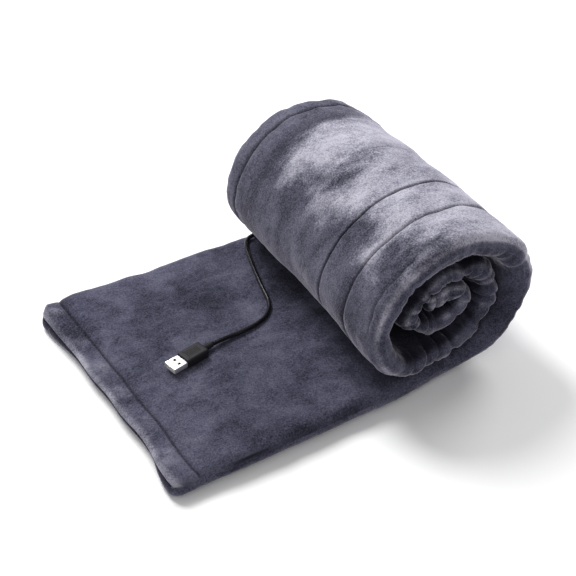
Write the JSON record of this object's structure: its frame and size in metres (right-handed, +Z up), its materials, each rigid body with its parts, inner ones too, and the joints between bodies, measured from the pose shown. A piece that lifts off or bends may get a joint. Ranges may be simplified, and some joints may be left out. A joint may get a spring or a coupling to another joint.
{
  "type": "heated plush throw",
  "caption": "Soft heated throw, folded lengthwise and partly rolled, with a flat flap and a short lead ending in a USB-A plug.",
  "frame": {"origin": "centre of the bounding box's base, on the surface the throw lies on, without the lead and its plug", "axes": "+X from the flat flap towards the roll, +Y along the roll's axis away from the viewer's near end, +Z up"},
  "size_m": [0.2962, 0.21, 0.1254],
  "materials": {
    "plush": "short-pile plush, brushed in patches",
    "carrier_cloth": "non-woven, matte",
    "thread": "polyester sewing thread",
    "heating_wire": "silicone-sheathed carbon fibre, matte",
    "lead_insulation": "vinyl insulation",
    "heat_shrink": "heat-shrink sleeve",
    "cord_vinyl": "extruded vinyl, satin",
    "moulded_vinyl": "moulded soft vinyl",
    "nickel_steel": "nickel plated, bright",
    "insulator": "moulded",
    "contact_gold": "gold flash"
  },
  "bodies": {
    "throw": {"face_cover_flap": "plush", "face_cover_outer_turn": "plush", "face_cover_inner_turn": "plush", "back_cover": "plush", "core_end_hem": "plush", "heating_carrier": "carrier_cloth", "near_side_thread": "thread", "far_side_thread": "thread", "heating_wire": "heating_wire", "supply_lead": "lead_insulation", "return_lead": "lead_insulation", "cutoff_lead": "lead_insulation", "supply_splice": "heat_shrink", "return_splice": "heat_shrink", "thermal_cutoff": "heat_shrink", "cord_exit_sleeve": "moulded_vinyl", "power_cord": "cord_vinyl", "plug_strain_relief": "moulded_vinyl", "plug_overmould": "moulded_vinyl", "plug_shell": "nickel_steel", "plug_tongue": "insulator", "contact_supply": "contact_gold", "contact_data_minus": "contact_gold", "contact_data_plus": "contact_gold", "contact_ground": "contact_gold"},
    "free_edge": {"free_edge_hem": "plush", "free_edge_backing": "plush", "free_edge_thread": "thread"}
  },
  "joints": [
    {"name": "flap_lift", "type": "hinge", "parent": "throw", "child": "free_edge", "pos_m": [-0.113, 0, 0.019], "axis": [0, 1, 0], "range_deg": [0, 70]}
  ]
}
